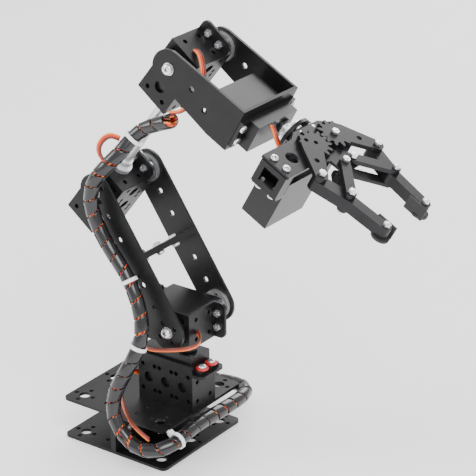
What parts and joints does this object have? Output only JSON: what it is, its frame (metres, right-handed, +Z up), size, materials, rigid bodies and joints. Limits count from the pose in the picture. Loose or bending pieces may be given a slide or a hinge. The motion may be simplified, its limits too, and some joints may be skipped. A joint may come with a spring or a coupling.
{
  "type": "desktop robot arm",
  "caption": "Desktop robot arm of folded black brackets: a turning base, three pitch joints, a wrist roll and a two-finger parallel gripper, with a wrapped cable harness.",
  "frame": {"origin": "centre of the base's underside", "axes": "+Z up, +X the way the arm points at rest, +Y to its left"},
  "size_m": [0.2482, 0.1166, 0.2975],
  "materials": {
    "black_aluminium": "fine matt black powder coat on folded aluminium",
    "servo_plastic": "moulded black servo case, satin",
    "inner_metal": "motor can and gears, plain metal",
    "steel_screw": "bright plated pan-head screws and nuts",
    "bare_aluminium": "turned bare aluminium",
    "bearing_steel": "ground bearing steel",
    "gripper_black": "satin black anodised aluminium plate",
    "pad_rubber": "soft black rubber",
    "harness_wrap": "black spiral wrap over brown, red and orange wires",
    "wire_lead": "three-wire ribbon in orange, red and brown",
    "red_washer": "red fibre washer"
  },
  "bodies": {
    "base": {"base_channel_front": "black_aluminium", "base_channel_rear": "black_aluminium", "base_screws": "steel_screw", "harness_base": "harness_wrap", "yaw_bracket": "black_aluminium", "yaw_screw_washers": "red_washer", "yaw_servo_case": "servo_plastic", "yaw_servo_internals": "inner_metal", "yaw_servo_lead": "wire_lead"},
    "turret": {"harness_loop": "harness_wrap", "shoulder_bracket": "black_aluminium", "shoulder_screws": "steel_screw", "shoulder_servo_case": "servo_plastic", "shoulder_servo_internals": "inner_metal", "shoulder_servo_lead": "wire_lead", "yaw_horn": "bare_aluminium", "yaw_spacer": "bare_aluminium"},
    "upper_arm": {"arm_bearings": "bearing_steel", "arm_horns": "bare_aluminium", "arm_joint_bolts": "steel_screw", "harness_arm": "harness_wrap", "harness_shoulder": "harness_wrap", "lower_arm_bracket": "black_aluminium", "upper_arm_bracket": "black_aluminium"},
    "forearm": {"elbow_bracket": "black_aluminium", "elbow_servo_case": "servo_plastic", "elbow_servo_internals": "inner_metal", "forearm_column": "bare_aluminium", "forearm_leads": "wire_lead", "forearm_screws": "steel_screw", "harness_elbow": "harness_wrap", "harness_forearm": "harness_wrap", "wrist_bracket": "black_aluminium", "wrist_pitch_servo_case": "servo_plastic", "wrist_pitch_servo_internals": "inner_metal"},
    "hand": {"hand_bracket": "black_aluminium", "roll_servo_case": "servo_plastic", "roll_servo_internals": "inner_metal", "roll_servo_screws": "steel_screw", "wrist_bearing": "bearing_steel", "wrist_horn": "bare_aluminium"},
    "gripper": {"claw_base_plate": "gripper_black", "claw_mount": "gripper_black", "grip_servo_case": "servo_plastic", "grip_servo_frame": "gripper_black", "grip_servo_internals": "inner_metal", "gripper_screws": "steel_screw", "hand_lead": "wire_lead", "roll_horn": "bare_aluminium"},
    "near_arm": {"grip_horn": "bare_aluminium", "near_gear_arm": "gripper_black"},
    "near_jaw": {"near_finger": "gripper_black", "near_finger_pad": "pad_rubber", "near_finger_screws": "steel_screw"},
    "near_parallel": {"near_link": "gripper_black"},
    "far_arm": {"far_gear_arm": "gripper_black"},
    "far_jaw": {"far_finger": "gripper_black", "far_finger_pad": "pad_rubber", "far_finger_screws": "steel_screw"},
    "far_parallel": {"far_link": "gripper_black"}
  },
  "joints": [
    {"name": "base_yaw", "type": "hinge", "parent": "base", "child": "turret", "pos_m": [0.0315, 0, 0.0592], "axis": [0, 0, 1], "range_deg": [-90, 90], "deforming": ["harness_loop"]},
    {"name": "shoulder_pitch", "type": "hinge", "parent": "turret", "child": "upper_arm", "pos_m": [0.0366, 0, 0.0945], "axis": [0, 1, 0], "range_deg": [-25, 55], "deforming": ["harness_shoulder"]},
    {"name": "elbow_pitch", "type": "hinge", "parent": "upper_arm", "child": "forearm", "pos_m": [-0.02014, 0, 0.17926], "axis": [0, -1, 0], "range_deg": [-50, 60], "deforming": ["harness_elbow"]},
    {"name": "wrist_pitch", "type": "hinge", "parent": "forearm", "child": "hand", "pos_m": [0.042, 0, 0.27487], "axis": [0, 1, 0], "range_deg": [-80, 30]},
    {"name": "wrist_roll", "type": "hinge", "parent": "hand", "child": "gripper", "pos_m": [0.09078, 0.01, 0.24326], "axis": [0.8746, 0, -0.4848], "range_deg": [-90, 90], "deforming": ["hand_lead"]},
    {"name": "grip", "type": "hinge", "parent": "gripper", "child": "near_arm", "pos_m": [0.13019, -0.0002, 0.23513], "axis": [0.4848, 0, 0.8746], "range_deg": [-12, 36]},
    {"name": "near_finger_turn", "type": "hinge", "parent": "near_arm", "child": "near_jaw", "pos_m": [0.14825, -0.02085, 0.22512], "axis": [0.4848, 0, 0.8746], "range_deg": [-36, 12]},
    {"name": "near_link_turn", "type": "hinge", "parent": "gripper", "child": "near_parallel", "pos_m": [0.14768, 0.0058, 0.22544], "axis": [0.4848, 0, 0.8746], "range_deg": [-12, 36]},
    {"name": "far_arm_turn", "type": "hinge", "parent": "gripper", "child": "far_arm", "pos_m": [0.13019, 0.0202, 0.23513], "axis": [0.4848, 0, 0.8746], "range_deg": [-36, 12]},
    {"name": "far_finger_turn", "type": "hinge", "parent": "far_arm", "child": "far_jaw", "pos_m": [0.14825, 0.04085, 0.22512], "axis": [0.4848, 0, 0.8746], "range_deg": [-12, 36]},
    {"name": "far_link_turn", "type": "hinge", "parent": "gripper", "child": "far_parallel", "pos_m": [0.14768, 0.0142, 0.22544], "axis": [0.4848, 0, 0.8746], "range_deg": [-36, 12]}
  ],
  "couplings": [
    {"joint": "near_finger_turn", "follows": "grip", "ratio": -1},
    {"joint": "near_link_turn", "follows": "grip", "ratio": 1},
    {"joint": "far_arm_turn", "follows": "grip", "ratio": -1},
    {"joint": "far_finger_turn", "follows": "grip", "ratio": 1},
    {"joint": "far_link_turn", "follows": "grip", "ratio": -1}
  ]
}
